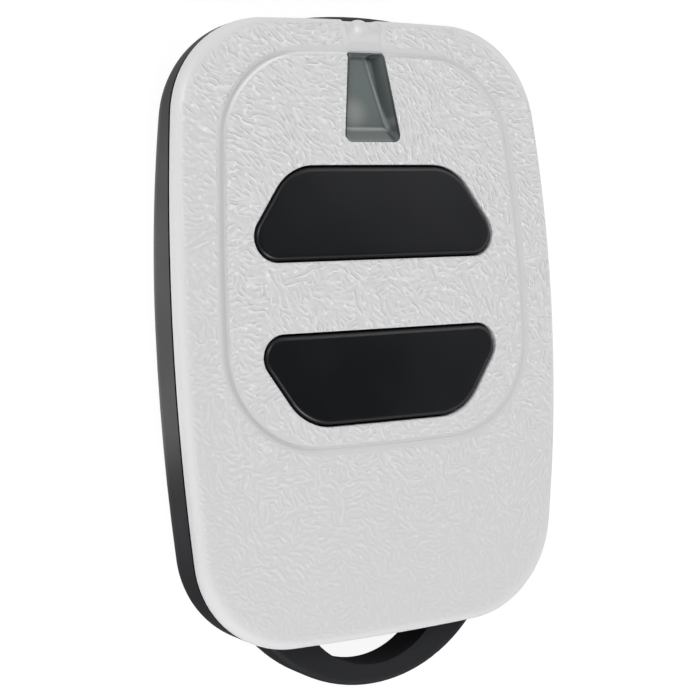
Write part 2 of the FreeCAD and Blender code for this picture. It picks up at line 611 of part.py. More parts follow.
def button(s):
    """Hollow key with a rounded rim, a flange, a stiffening rib and a switch post."""
    solid = trapezoid_prism(s, -BUTTON_GAP, FLANGE_SEAT_Z - FLANGE_THICK, THICKNESS + 2)
    solid = solid.common(face_ball(BUTTON_RECESS))
    top = max(solid.Faces, key=lambda f: f.CenterOfMass.z)
    solid = solid.makeFillet(BUTTON_EDGE_R, top.Edges)
    solid = solid.fuse(trapezoid_prism(s, FLANGE_REACH, FLANGE_SEAT_Z - FLANGE_THICK, FLANGE_SEAT_Z))
    hollow = trapezoid_prism(s, -BUTTON_GAP - BUTTON_WALL, 0, THICKNESS).common(
        face_ball(BUTTON_RECESS + BUTTON_ROOF))
    solid = solid.cut(hollow)
    mid = (s["top"] + s["bottom"]) / 2
    rib_z = SWITCH_TOP_Z
    rib = Part.makeBox(2 * HALF_WIDTH, RIB_THICK, THICKNESS, V(-HALF_WIDTH, mid - RIB_THICK / 2, rib_z))
    rib = rib.common(hollow)
    solid = solid.fuse(rib)
    solid = solid.fuse(post(POST_R, 0, mid, SWITCH_TOP_Z, THICKNESS - BUTTON_ROOF))
    return solid.removeSplitter()


def circuit_board():
    """Green board with its locating holes and a notch at each snap hook."""
    board = bowed_prism(BOARD, 0, BOARD_BOTTOM_Z, BOARD_TOP_Z)
    for x, y in board_pins():
        board = board.cut(post(PIN_R + PIN_GAP, x, y, 0, THICKNESS))
    for y in hook_places():
        reach = SIDE_WALL + HOOK_GAP + HOOK_THICK + NOTCH_GAP
        board = board.cut(side_band(y, HOOK_WIDTH + 2 * NOTCH_GAP, 0, reach, 0, THICKNESS))
    return board


def antenna_trace():
    """Printed copper loop round the battery end of the board."""
    band = bowed_prism(BOARD, TRACE_GAP, BOARD_TOP_Z, BOARD_TOP_Z + TRACE_THICK)
    band = band.cut(bowed_prism(BOARD, TRACE_GAP + TRACE_WIDTH, 0, THICKNESS))
    reach = CLAMP_YS[1] - CLAMP_R - TRACE_POST_GAP - BOARD_BOTTOM_Y
    end = Part.makeBox(2 * BODY_WIDTH, reach, THICKNESS, V(-BODY_WIDTH, BOARD_BOTTOM_Y, 0))
    band = band.common(end)
    for x, y in board_pins():
        band = band.cut(post(PIN_R + TRACE_PIN_GAP, x, y, 0, THICKNESS))
    return band


def battery():
    """Button cell: can below, insulating ring, cap above."""
    can = post(CELL_R, 0, CELL_Y, CELL_BOTTOM_Z, CELL_TOP_Z - CELL_CAP_STEP)
    can = can.makeChamfer(CELL_EDGE, [e for e in can.Edges if abs(e.BoundBox.ZLength) < 1e-3])
    cap_well = post(CELL_CAP_R + GASKET_WIDTH, 0, CELL_Y, CELL_BOTTOM_Z + CELL_SKIN, CELL_TOP_Z)
    can = can.cut(cap_well)
    cap = post(CELL_CAP_R, 0, CELL_Y, CELL_BOTTOM_Z + 2 * CELL_SKIN, CELL_TOP_Z)
    ring = post(CELL_CAP_R + GASKET_WIDTH, 0, CELL_Y, CELL_BOTTOM_Z + CELL_SKIN,
                CELL_TOP_Z - CELL_CAP_STEP + 0.1)
    ring = ring.cut(cap)
    return can, ring, cap


def positive_clip():
    """Sprung strip under the cell, its two legs standing up to the board."""
    reach = CELL_R + CLIP_GAP
    strip = Part.makeBox(2 * (reach + CONTACT_THICK), CLIP_WIDTH, CONTACT_THICK,
                         V(-reach - CONTACT_THICK, CELL_Y - CLIP_WIDTH / 2, CLIP_BOTTOM_Z))
    for side in (-1, 1):
        x = reach if side > 0 else -reach - CONTACT_THICK
        leg = Part.makeBox(CONTACT_THICK, CLIP_WIDTH, BOARD_BOTTOM_Z - CLIP_BOTTOM_Z,
                           V(x, CELL_Y - CLIP_WIDTH / 2, CLIP_BOTTOM_Z))
        fx = reach if side > 0 else -reach - CLIP_FOOT
        foot = Part.makeBox(CLIP_FOOT, CLIP_WIDTH, CONTACT_THICK,
                            V(fx, CELL_Y - CLIP_WIDTH / 2, BOARD_BOTTOM_Z - CONTACT_THICK))
        strip = strip.fuse(leg).fuse(foot)
    return strip.removeSplitter()


def negative_contact():
    """Round contact between the cap of the cell and the board."""
    return post(CONTACT_R, 0, CELL_Y, CELL_TOP_Z, BOARD_BOTTOM_Z)


def switch_parts(y):
    """Low push switch: base, dome, plunger, sheet cover and four terminals."""
    z = BOARD_TOP_Z
    half = SWITCH_SIDE / 2
    base = Part.makeBox(SWITCH_SIDE, SWITCH_SIDE, SWITCH_BASE_H, V(-half, y - half, z))
    base = base.makeChamfer(SWITCH_CORNER, upright_edges(base, z, z + SWITCH_BASE_H))
    base = base.cut(post(WELL_R, 0, y, z + SWITCH_FLOOR, z + 5))
    dome_z = z + SWITCH_FLOOR
    ball_r = (DOME_R ** 2 + DOME_RISE ** 2) / (2 * DOME_RISE)
    centre = V(0, y, dome_z + DOME_RISE - ball_r)
    dome = Part.makeSphere(ball_r, centre).cut(Part.makeSphere(ball_r - DOME_SKIN, centre))
    dome = dome.common(post(DOME_R, 0, y, dome_z, dome_z + 1))
    cover_z = z + SWITCH_BASE_H
    cover = Part.makeBox(SWITCH_SIDE, SWITCH_SIDE, SWITCH_COVER_T, V(-half, y - half, cover_z))
    cover = cover.makeChamfer(SWITCH_CORNER, upright_edges(cover, cover_z, cover_z + SWITCH_COVER_T))
    cover = cover.cut(post(PLUNGER_R + PLUNGER_GAP, 0, y, 0, THICKNESS))
    dome_top = dome_z + DOME_RISE
    plunger = post(PLUNGER_R, 0, y, dome_top, SWITCH_TOP_Z)
    terminals = []
    for side in (-1, 1):
        for row in (-1, 1):
            x0 = side * half if side > 0 else -half - TERMINAL_REACH
            t = Part.makeBox(TERMINAL_REACH, TERMINAL_W, TERMINAL_T,
                             V(x0, y + row * TERMINAL_PITCH / 2 - TERMINAL_W / 2, z))
            terminals.append(t)
    return dict(base=base, dome=dome, plunger=plunger, cover=cover, terminals=Part.makeCompound(terminals))


def block(x, y, lx, ly, lz, z):
    return Part.makeBox(lx, ly, lz, V(x - lx / 2, y - ly / 2, z))


def status_led():
    base = block(0, LED_Y, *LED_SIZE, BOARD_TOP_Z)
    lens = block(0, LED_Y, *LED_LENS, BOARD_TOP_Z + LED_SIZE[2])
    return base, lens


def chip(spec, base_y, rows, stand=0.05):
    """Moulded chip with gull-wing leads on its two sides."""
    x, y, lx, ly, lz = spec
    y += base_y
    z = BOARD_TOP_Z
    body = block(x, y, lx, ly, lz - stand, z + stand)
    body = body.makeChamfer(0.12, [e for e in body.Edges if e.CenterOfMass.z > z + lz - 0.01])
    leads = []
    for side in (-1, 1):
        for i in range(rows):
            ly0 = y + (i - (rows - 1) / 2) * PIN_PITCH - LEAD_W / 2
            inner, knee = lx / 2, lx / 2 + 0.4 * LEAD_REACH
            outer = lx / 2 + LEAD_REACH
            up = z + 0.45 * lz
            pts = [(inner, up), (inner, up + LEAD_T), (knee + LEAD_T, up + LEAD_T),
                   (knee + LEAD_T, z + LEAD_T), (outer, z + LEAD_T), (outer, z), (knee, z), (knee, up)]
            wire = Part.makePolygon([V(x + side * p[0], ly0, p[1]) for p in pts + pts[:1]])
            leads.append(Part.Face(wire).extrude(V(0, LEAD_W, 0)))
    return body, Part.makeCompound(leads)


def resonator():
    x, y, lx, ly, lz = RESONATOR
    can = block(x, y + BOARD_BOTTOM_Y, lx, ly, lz, BOARD_TOP_Z)
    return can.makeFillet(0.2 * ly, upright_edges(can, 0, lz))


def trimmer():
    x, y, lx, ly, lz = TRIMMER
    y += BOARD_BOTTOM_Y
    base = block(x, y, lx, ly, lz, BOARD_TOP_Z)
    top = BOARD_TOP_Z + lz
    rotor = post(TRIMMER_ROTOR_R, x, y, top, top + TRIMMER_ROTOR_H)
    slot = block(x, y, 2 * TRIMMER_ROTOR_R + 1, 0.3, 1, top + TRIMMER_ROTOR_H / 2)
    return base, rotor.cut(slot)


def chip_rows(places, height_share):
    """Small two-ended parts soldered flat on the board."""
    lx, ly, lz = CHIP_PART
    lz *= height_share
    made = []
    for x, y in places:
        bar = block(x, y, lx - 0.1, ly, lz - 0.04, BOARD_TOP_Z + 0.02)
        for side in (-1, 1):
            cap = block(x, y + side * (ly / 2 - CHIP_END / 2), lx, CHIP_END, lz, BOARD_TOP_Z)
            bar = bar.fuse(cap)
        made.append(bar.removeSplitter())
    return Part.makeCompound(made)


def main():
    case = case_block()
    parts = {}
    parts["front_cover"] = front_cover(case)
    parts["rear_cover"] = rear_cover(case)
    parts["light_pipe"] = light_pipe()
    parts["upper_button"] = button(UPPER)
    parts["lower_button"] = button(LOWER)
    parts["circuit_board"] = circuit_board()
    parts["antenna_trace"] = antenna_trace()
    parts["battery_can"], parts["battery_gasket"], parts["battery_cap"] = battery()
    parts["positive_clip"] = positive_clip()
    parts["negative_contact"] = negative_contact()
    for name, s in (("upper", UPPER), ("lower", LOWER)):
        for piece, shape in switch_parts((s["top"] + s["bottom"]) / 2).items():
            parts[name + "_switch_" + piece] = shape
    parts["led_base"], parts["led_lens"] = status_led()
    parts["controller_chip"], parts["controller_leads"] = chip(CONTROLLER, KEY_ROW_Y, 4)
    parts["transmitter_chip"], parts["transmitter_leads"] = chip(TRANSMITTER, BOARD_BOTTOM_Y, 5)
    parts["resonator"] = resonator()
    parts["trimmer_base"], parts["trimmer_rotor"] = trimmer()
    for name, row, ends, share in (("chip_capacitors", KEY_CAPACITORS, END_CAPACITORS, 1.0),
                                   ("chip_resistors", KEY_RESISTORS, END_RESISTORS, 0.8)):
        places = [(x, KEY_ROW_Y) for x in row] + [(x, BOARD_BOTTOM_Y + y) for x, y in ends]
        parts[name] = chip_rows(places, share)
    os.makedirs("parts", exist_ok=True)
    for name, shape in parts.items():
        if not shape.isValid():
            print("invalid", name)
        b = shape.BoundBox
        print("%-24s solids %d  vol %9.3f  x %.2f %.2f  y %.2f %.2f  z %.2f %.2f" % (
            name, len(shape.Solids), shape.Volume, b.XMin, b.XMax, b.YMin, b.YMax, b.ZMin, b.ZMax))
        shape.exportStep("parts/" + name + ".step")


main()
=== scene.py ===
import bpy
import math
from mathutils import Matrix, Vector

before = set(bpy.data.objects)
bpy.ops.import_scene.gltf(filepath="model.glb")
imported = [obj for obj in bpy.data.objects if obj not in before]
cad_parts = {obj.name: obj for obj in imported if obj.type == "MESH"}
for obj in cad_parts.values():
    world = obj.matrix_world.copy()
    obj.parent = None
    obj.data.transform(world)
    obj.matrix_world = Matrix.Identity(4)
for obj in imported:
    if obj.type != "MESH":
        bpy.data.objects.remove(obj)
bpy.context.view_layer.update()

# Camera
# It looks down on the remote, which lies on its back, from about 30 degrees to the left of its face and
# 3 degrees towards its window end, through the fairly long lens of a product photograph.
camera_turn, camera_rise, camera_roll = -0.52, 0.05, -0.04
camera_distance = 0.15708
looked_at = Vector((-0.00423, -0.00177, 0.0096))
sensor_mm, photo_pixels, focal_pixels = 36.0, 700, 1600
nearest_seen, farthest_seen = 0.005, 20.0
back = Vector((math.sin(camera_turn) * math.cos(camera_rise), math.sin(camera_rise),
               math.cos(camera_turn) * math.cos(camera_rise)))
right = Vector((0, 1, 0)).cross(back).normalized()
up = back.cross(right)
rolled_right = right * math.cos(camera_roll) + up * math.sin(camera_roll)
rolled_up = up * math.cos(camera_roll) - right * math.sin(camera_roll)
lens = bpy.data.cameras.new("camera")
lens.sensor_width = sensor_mm
lens.lens = focal_pixels / photo_pixels * sensor_mm
lens.clip_start, lens.clip_end = nearest_seen, farthest_seen
camera = bpy.data.objects.new("camera", lens)
bpy.context.scene.collection.objects.link(camera)
turned = Matrix((rolled_right, rolled_up, back)).transposed().to_4x4()
camera.matrix_world = Matrix.Translation(looked_at + back * camera_distance) @ turned
bpy.context.scene.camera = camera
bpy.context.scene.view_settings.view_transform = "Standard"


# Table and light
# A matt white table top that shows white to the camera and through glass, and in mirrors with a painted
# reflection that darkens towards both ends of the remote; it keeps the remote's soft shadow. A pale room,
# bright at the horizon and dark overhead, gives most of the light. A wide soft lamp stands at the upper left,
# a stronger one far below the loop end and a weak one at the upper right.

def feed(tree, node, inputs):
    """Gives inputs of a node their values, or wires them to sockets of other nodes."""
    for name, value in inputs.items():
        if isinstance(value, bpy.types.NodeSocket):
            tree.links.new(value, node.inputs[name])
        else:
            node.inputs[name].default_value = value


def add_node(tree, kind, inputs=None, **settings):
    """A new shader node with its settings and what its inputs take."""
    node = tree.nodes.new("ShaderNode" + kind)
    for name, value in settings.items():
        setattr(node, name, value)
    feed(tree, node, inputs or {})
    return node


def sums(tree, operation, *values):
    """One step of arithmetic on up to three numbers or sockets."""
    return add_node(tree, "Math", dict(enumerate(values)), operation=operation).outputs[0]


def soft_step(tree, value, start, end, first=0.0, last=1.0):
    """Goes smoothly from first to last while the value goes from start to end."""
    ends = {"Value": value, "From Min": start, "From Max": end, "To Min": first, "To Max": last}
    return add_node(tree, "MapRange", ends, interpolation_type="SMOOTHSTEP").outputs["Result"]


table_width = 4.0
table_white = (0.80, 0.80, 0.80, 1)
glow_to_camera = 0.92
share_that_shades = 0.14
bpy.ops.object.select_all(action="DESELECT")
bpy.ops.mesh.primitive_plane_add(size=table_width, location=(0, 0, 0))
table = bpy.context.object
table.name = "table_top"
table_finish = bpy.data.materials.new("matt_white_table")
table_finish.use_nodes = True
tree = table_finish.node_tree
tree.nodes.clear()
ray = add_node(tree, "LightPath").outputs
viewed = sums(tree, "MAXIMUM", ray["Is Camera Ray"], ray["Is Glossy Ray"])
viewed = sums(tree, "MAXIMUM", viewed, ray["Is Transmission Ray"])

# What the black plastic mirrors of the table is painted darker towards both ends of the remote, as a painted
# reflection. Each fade has the two places in metres along the remote where it starts and ends, and the share
# of the glow at each of them.
along = add_node(tree, "SeparateXYZ", {0: add_node(tree, "TexCoord").outputs["Object"]}).outputs[1]
painted_mirror_glow = 1.0
for start, end, share_at_start, share_at_end in ((-0.040, -0.034, 0.10, 1.0), (-0.030, -0.018, 0.45, 1.0),
                                                 (-0.016, -0.008, 0.35, 1.0), (0.010, 0.034, 1.0, 0.45)):
    fade = soft_step(tree, along, start, end, share_at_start, share_at_end)
    painted_mirror_glow = sums(tree, "MULTIPLY", painted_mirror_glow, fade)
glow = add_node(tree, "Mix", {"Factor": ray["Is Glossy Ray"], "A": glow_to_camera, "B": painted_mirror_glow})
glow = glow.outputs["Result"]
glowing = add_node(tree, "Emission", {"Strength": glow})
shading = add_node(tree, "BsdfDiffuse", {"Color": sums(tree, "MULTIPLY", glow, share_that_shades)})
shown = add_node(tree, "AddShader", {0: shading.outputs[0], 1: glowing.outputs[0]})
matt = add_node(tree, "BsdfDiffuse", {"Color": table_white})
picked = add_node(tree, "MixShader", {"Fac": viewed, 1: matt.outputs[0], 2: shown.outputs[0]})
add_node(tree, "OutputMaterial", {"Surface": picked.outputs[0]})
table.data.materials.append(table_finish)

horizon_light, overhead_light, camera_light = 1.25, 0.01, 1.0
overhead_way = Vector((-0.10, -0.06, 1.0)).normalized()
room = bpy.data.worlds.new("pale_room")
bpy.context.scene.world = room
room.use_nodes = True
tree = room.node_tree
way = add_node(tree, "TexCoord").outputs["Generated"]
rise = add_node(tree, "VectorMath", {0: way, 1: overhead_way}, operation="DOT_PRODUCT").outputs["Value"]
dimmed = soft_step(tree, rise, start=0.20, end=0.91, first=horizon_light, last=overhead_light)
to_camera = add_node(tree, "LightPath").outputs["Is Camera Ray"]
strength = add_node(tree, "Mix", {"Factor": to_camera, "A": dimmed, "B": camera_light})
feed(tree, tree.nodes["Background"], {"Color": (1.0, 1.0, 1.0, 1), "Strength": strength.outputs["Result"]})

lamps_aim = Vector((0, 0, 0.005))
for name, place, size, power in (("key_lamp", (-0.46, 0.36, 0.58), 0.35, 1.88),
                                 ("low_lamp", (-0.12, -0.62, 0.50), 0.45, 3.3),
                                 ("fill_lamp", (0.45, 0.42, 0.62), 0.40, 1.08)):
    lamp = bpy.data.lights.new(name, "AREA")
    lamp.shape, lamp.size, lamp.energy = "DISK", size, power
    stand = bpy.data.objects.new(name, lamp)
    bpy.context.scene.collection.objects.link(stand)
    stand.location = place
    stand.rotation_euler = (lamps_aim - Vector(place)).to_track_quat("-Z", "Y").to_euler()


# Rear cover
# The black shell that the remote lies on, moulded in one piece with the key-ring loop from acrylonitrile
# plastic. Its fine even texture comes from the spark-eroded mould, and the loop is duller than the rest.

def start_finish(name):
    """A new material; hands it back with its tree of nodes and its shader."""
    finish = bpy.data.materials.new(name)
    finish.use_nodes = True
    return finish, finish.node_tree, finish.node_tree.nodes["Principled BSDF"]


def dress(names, finish):
    """Puts a finish on pieces that keep their shape."""
    for name in names:
        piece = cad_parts[name]
        if not piece.material_slots:
            piece.data.materials.append(finish)
        for held in piece.material_slots:
            held.material = finish


def start_group(name, inputs, outputs):
    """A new group of nodes that takes a place and named numbers, with its two ends."""
    group = bpy.data.node_groups.new(name, "ShaderNodeTree")
    group.interface.new_socket("Vector", in_out="INPUT", socket_type="NodeSocketVector")
    for label in inputs:
        group.interface.new_socket(label, in_out="INPUT", socket_type="NodeSocketFloat")
    for label in outputs:
        group.interface.new_socket(label, in_out="OUTPUT", socket_type="NodeSocketFloat")
    return group, group.nodes.new("NodeGroupInput").outputs, group.nodes.new("NodeGroupOutput")


def place_on(tree):
    """The place on a piece, in metres."""
    return add_node(tree, "TexCoord").outputs["Object"]


def in_millimetres(tree, place):
    """A place given in metres, in millimetres."""
    return add_node(tree, "VectorMath", {0: place, "Scale": 1000.0}, operation="SCALE").outputs[0]


def centred(tree, number):
    """A random number between 0 and 1, shifted to lie round 0."""
    return sums(tree, "SUBTRACT", number, 0.5)


# The fine texture of a mould, for this cover, the keys and the small parts: its height and a slow change of
# gloss.
clouds_per_mm = 0.12
fine_texture, given, put_out = start_group("fine_mould_texture", ["Grain per mm"], ["Height", "Gloss change"])
place_mm = in_millimetres(fine_texture, given["Vector"])
specks = add_node(fine_texture, "TexNoise", {"Vector": place_mm, "Scale": given["Grain per mm"],
                                             "Detail": 3.0, "Roughness": 0.6})
cloud = add_node(fine_texture, "TexNoise", {"Vector": place_mm, "Scale": clouds_per_mm, "Detail": 2.0})
feed(fine_texture, put_out, {"Height": specks.outputs[0],
                             "Gloss change": centred(fine_texture, cloud.outputs[0])})


def moulded(name, colour, rough, per_mm, depth, shine=0.5):
    """A moulded finish with the fine texture of its mould, a little lighter on the raised specks."""
    finish, tree, shader = start_finish(name)
    gloss_swing, lighter = 0.18, 1.35
    raised_colour = tuple(part * lighter for part in colour[:3]) + (1,)
    grain = add_node(tree, "Group", {"Vector": place_on(tree), "Grain per mm": per_mm},
                     node_tree=fine_texture).outputs
    bump = add_node(tree, "Bump", {"Height": grain["Height"], "Strength": 1.0, "Distance": depth})
    gloss = sums(tree, "ADD", sums(tree, "MULTIPLY", grain["Gloss change"], gloss_swing), rough)
    tone = add_node(tree, "MixRGB", {"Fac": grain["Height"], "Color1": colour, "Color2": raised_colour})
    feed(tree, shader, {"Base Color": tone.outputs[0], "Roughness": gloss, "Normal": bump.outputs[0],
                        "Specular IOR Level": shine})
    return finish


rear_black = moulded("rear_black_plastic", colour=(0.0040, 0.0045, 0.0068, 1), rough=0.44, per_mm=6.0,
                     depth=0.000012, shine=0.42)

# The plastic gets duller where the case ends and the loop begins, between two places in metres along the
# remote.
tree = rear_black.node_tree
gloss = tree.nodes["Principled BSDF"].inputs["Roughness"]
dull_from_y, dullest_from_y, duller = -0.0304, -0.0318, 0.32
along = add_node(tree, "SeparateXYZ", {0: place_on(tree)}).outputs[1]
on_loop = soft_step(tree, along, dull_from_y, dullest_from_y, last=duller)
tree.links.new(sums(tree, "ADD", gloss.links[0].from_socket, on_loop), gloss)
dress(["rear_cover"], rear_black)

# Button cell, its sealing ring and its two spring contacts
# The can and cap of the cell are pressed and turned from steel, with a black sealing ring between them.
# The contacts above and below it are stamped from spring strip, with the marks of rolling along them.
cell_to_centre = (0.0, 0.0145, 0.0)
steel, tree, shader = start_finish("cell_steel")
about_cell = add_node(tree, "Mapping", {"Vector": place_on(tree), "Location": cell_to_centre})
rings = add_node(tree, "TexWave", {"Vector": about_cell.outputs[0], "Scale": 2600.0, "Distortion": 1.0,
                                   "Detail": 1.0}, wave_type="RINGS", rings_direction="Z")
turned_marks = add_node(tree, "MapRange", {"Value": rings.outputs["Fac"], "To Min": 0.20, "To Max": 0.34})
feed(tree, shader, {"Base Color": (0.66, 0.66, 0.64, 1), "Metallic": 1.0,
                    "Roughness": turned_marks.outputs[0]})
dress(["battery_can", "battery_cap"], steel)

strip, tree, shader = start_finish("stamped_strip")
stretch = add_node(tree, "Mapping", {"Vector": place_on(tree), "Scale": (300.0, 9000.0, 9000.0)})
drawn = add_node(tree, "TexNoise", {"Vector": stretch.outputs[0], "Scale": 1.0, "Detail": 2.0})
rolled_marks = add_node(tree, "MapRange", {"Value": drawn.outputs[0], "To Min": 0.22, "To Max": 0.42})
feed(tree, shader, {"Base Color": (0.62, 0.60, 0.56, 1), "Metallic": 1.0,
                    "Roughness": rolled_marks.outputs[0]})
dress(["positive_clip", "negative_contact"], strip)

seal = moulded("sealing_ring_black", colour=(0.03, 0.03, 0.032, 1), rough=0.6, per_mm=8.0, depth=0.000006)
dress(["battery_gasket"], seal)

# Circuit board
# Glass-fibre board under a green lacquer that shows its weave, held between the shoulders of the rear cover
# and the posts of the front cover. A printed copper loop on it sends the signal.
board_green, tree, shader = start_finish("lacquered_board")
weave = add_node(tree, "TexBrick", {"Vector": place_on(tree), "Scale": 2200.0,
                                    "Color1": (0.010, 0.085, 0.030, 1), "Color2": (0.013, 0.100, 0.036, 1),
                                    "Mortar": (0.008, 0.070, 0.026, 1)}, offset=0.5)
feed(tree, shader, {"Base Color": weave.outputs["Color"], "Roughness": 0.28})
dress(["circuit_board"], board_green)

copper, tree, shader = start_finish("printed_copper")
dull = add_node(tree, "TexNoise", {"Vector": place_on(tree), "Scale": 900.0, "Detail": 3.0})
tint = add_node(tree, "MixRGB", {"Fac": dull.outputs[0], "Color1": (0.80, 0.42, 0.24, 1),
                                 "Color2": (0.62, 0.30, 0.16, 1)})
feed(tree, shader, {"Base Color": tint.outputs[0], "Metallic": 1.0, "Roughness": 0.35})
dress(["antenna_trace"], copper)

# Chips, switches and small parts on the board
# Bodies of black resin, fired ceramic and white plastic, and legs, domes and covers of tinned metal, all
# mounted on the board. The indicator lamp has a clear lens and the trimmer a small brass rotor.
resin = moulded("chip_resin", colour=(0.016, 0.016, 0.018, 1), rough=0.55, per_mm=14.0, depth=0.000004)
dress(["controller_chip", "transmitter_chip", "upper_switch_base", "lower_switch_base"], resin)

tin, tree, shader = start_finish("tinned_legs")
dull = add_node(tree, "TexNoise", {"Vector": place_on(tree), "Scale": 3000.0, "Detail": 2.0})
dull_marks = add_node(tree, "MapRange", {"Value": dull.outputs[0], "To Min": 0.25, "To Max": 0.45})
feed(tree, shader, {"Base Color": (0.72, 0.72, 0.70, 1), "Metallic": 1.0, "Roughness": dull_marks.outputs[0]})
dress(["controller_leads", "transmitter_leads", "upper_switch_terminals", "lower_switch_terminals",
       "upper_switch_cover", "lower_switch_cover", "upper_switch_dome", "lower_switch_dome",
       "resonator"], tin)

ceramic = moulded("fired_ceramic", colour=(0.30, 0.24, 0.17, 1), rough=0.45, per_mm=9.0, depth=0.000004)
dress(["chip_capacitors"], ceramic)
film = moulded("resistor_film", colour=(0.03, 0.03, 0.035, 1), rough=0.4, per_mm=9.0, depth=0.000004)
dress(["chip_resistors"], film)
white_part = moulded("white_part", colour=(0.55, 0.55, 0.52, 1), rough=0.45, per_mm=9.0, depth=0.000004)
dress(["led_base", "trimmer_base", "upper_switch_plunger", "lower_switch_plunger"], white_part)
brass = moulded("brass_part", colour=(0.62, 0.45, 0.18, 1), rough=0.3, per_mm=9.0, depth=0.000002)
dress(["trimmer_rotor"], brass)
clear = moulded("clear_resin", colour=(0.72, 0.74, 0.70, 1), rough=0.15, per_mm=9.0, depth=0.000001)
dress(["led_lens"], clear)


# Light pipe
# A plug of smoky grey-green clear plastic with a basin, held by its flange under the face, over the
# indicator lamp. Its colour carries painted light: pale lines along its two folds, glints on its floor and in
# a lower corner and lighter ends, and painted shade on its steep right side and round its edges.

def near(tree, place_mm, centre, inner, outer):
    """1 within the inner radius round a place of the face, falling to 0 at the outer one."""
    flat = add_node(tree, "VectorMath", {0: place_mm, 1: (1, 1, 0)}, operation="MULTIPLY").outputs[0]
    to_it = add_node(tree, "VectorMath", {0: flat, 1: centre + (0,)}, operation="DISTANCE").outputs["Value"]
    return soft_step(tree, to_it, start=outer, end=inner)


def lay_over(tree, under, mask, colour):
    """A colour, with another one laid over it where the mask is 1."""
    return add_node(tree, "MixRGB", {"Fac": mask, "Color1": under, "Color2": colour}).outputs[0]


# The sizes are in millimetres. The long fold starts near the middle of the upper end and leans to the lower
# right; the short fold crosses the basin near its lower end. The opening gets wider downwards.
fold_start_x, fold_start_y, fold_lean = 0.30, 27.54, 0.275
short_fold_y = 20.0
half_width_at_top, opening_top_y, side_lean = 2.09, 27.58, 0.136
upper_edge_y = 27.62
dark_smoke, light_smoke = (0.080, 0.104, 0.103, 1), (0.116, 0.141, 0.139, 1)
smoky, tree, shader = start_finish("smoky_window")
place_mm = in_millimetres(tree, place_on(tree))
x, y = add_node(tree, "SeparateXYZ", {0: place_mm}).outputs[:2]
fold_x = sums(tree, "MULTIPLY_ADD", y, -fold_lean, fold_start_x + fold_start_y * fold_lean)
past_fold = sums(tree, "SUBTRACT", x, fold_x)
# Painted shade: the steep right side beyond the long fold and the lower right corner are tinted dark.
steep_side_painted_shade = soft_step(tree, past_fold, start=0.10, end=0.34)
corner = sums(tree, "MULTIPLY", soft_step(tree, x, start=1.9, end=2.4),
              soft_step(tree, y, start=20.1, end=19.8))
steep_side_painted_shade = sums(tree, "MAXIMUM", steep_side_painted_shade, corner)
# Painted highlights: pale lines along the long and the short fold, which also raise a slight bump.
long_fold = soft_step(tree, sums(tree, "ABSOLUTE", past_fold), start=0.30, end=0.02)
long_fold = sums(tree, "MULTIPLY", long_fold, soft_step(tree, y, start=28.5, end=21.0, first=0.25))
long_fold = sums(tree, "MULTIPLY", long_fold, soft_step(tree, y, start=19.9, end=20.3))
off_short_fold = sums(tree, "ABSOLUTE", sums(tree, "SUBTRACT", y, short_fold_y))
short_fold = soft_step(tree, off_short_fold, start=0.28, end=0.02)
short_fold = sums(tree, "MULTIPLY", short_fold, soft_step(tree, past_fold, start=0.1, end=-0.2))
fold_relief_and_highlights = sums(tree, "MAXIMUM", long_fold, short_fold)
half_width = sums(tree, "MULTIPLY_ADD", y, -side_lean, half_width_at_top + opening_top_y * side_lean)
inside_edge = sums(tree, "SUBTRACT", half_width, sums(tree, "ABSOLUTE", x))
inside_edge = sums(tree, "MINIMUM", inside_edge, sums(tree, "SUBTRACT", upper_edge_y, y))

# Painted light: a glint on the floor of the basin, a lighter lower end and upper end, and a small glint in
# the lower right corner.
floor_glint = near(tree, place_mm, centre=(-1.5, 21.6), inner=0.2, outer=2.3)
painted_lighter_lower_end = soft_step(tree, y, start=20.1, end=19.7)
painted_lighter_upper_end = soft_step(tree, y, start=26.6, end=27.0)
corner_glint = near(tree, place_mm, centre=(2.6, 20.8), inner=0.1, outer=0.7)
# Painted shade: a dark line round the edges of the opening and along its upper wall.
painted_edge_shade = soft_step(tree, inside_edge, start=0.30, end=0.12)
cloud = add_node(tree, "TexNoise", {"Vector": place_on(tree), "Scale": 260.0, "Detail": 2.0})
tint = lay_over(tree, dark_smoke, cloud.outputs[0], light_smoke)
for mask, colour in ((floor_glint, (0.220, 0.235, 0.228, 1)), (painted_lighter_lower_end, (0.176, 0.196, 0.190, 1)),
                     (painted_lighter_upper_end, (0.165, 0.198, 0.195, 1)), (steep_side_painted_shade, (0.064, 0.078, 0.079, 1)),
                     (corner_glint, (0.122, 0.130, 0.130, 1)), (fold_relief_and_highlights, (0.300, 0.325, 0.315, 1)),
                     (painted_edge_shade, (0.010, 0.012, 0.012, 1))):
    tint = lay_over(tree, tint, mask, colour)
raised = add_node(tree, "Bump", {"Height": fold_relief_and_highlights, "Strength": 1.0, "Distance": 0.00004})
feed(tree, shader, {"Base Color": tint, "Normal": raised.outputs[0], "Roughness": 0.24, "IOR": 1.49})
dress(["light_pipe"], smoky)

# Two keys
# Hollow caps moulded in satin black plastic that stand level with the face, with only a hair line round
# them. A flange under the front cover keeps each in, and its post stands over a switch.
key_black = moulded("key_black_plastic", colour=(0.0018, 0.0022, 0.0036, 1), rough=0.35, per_mm=5.0,
                    depth=0.000004, shine=0.40)
dress(["upper_button", "lower_button"], key_black)


# Front cover
# The pale grey domed shell, moulded in one piece and snapped onto the rear cover. Its mould is etched with
# short worm-like ridges that flow in patches, as on fine leather, and with small pips. The rounded rim, the
# channel round the key panel and the scoop over the window stay smooth.

def flat_noise(tree, place_mm, per_mm):
    """A soft noise over the face, with a number of lumps per millimetre."""
    return add_node(tree, "TexNoise", {"Vector": place_mm, "Scale": per_mm, "Detail": 0.0},
                    noise_dimensions="2D").outputs[0]


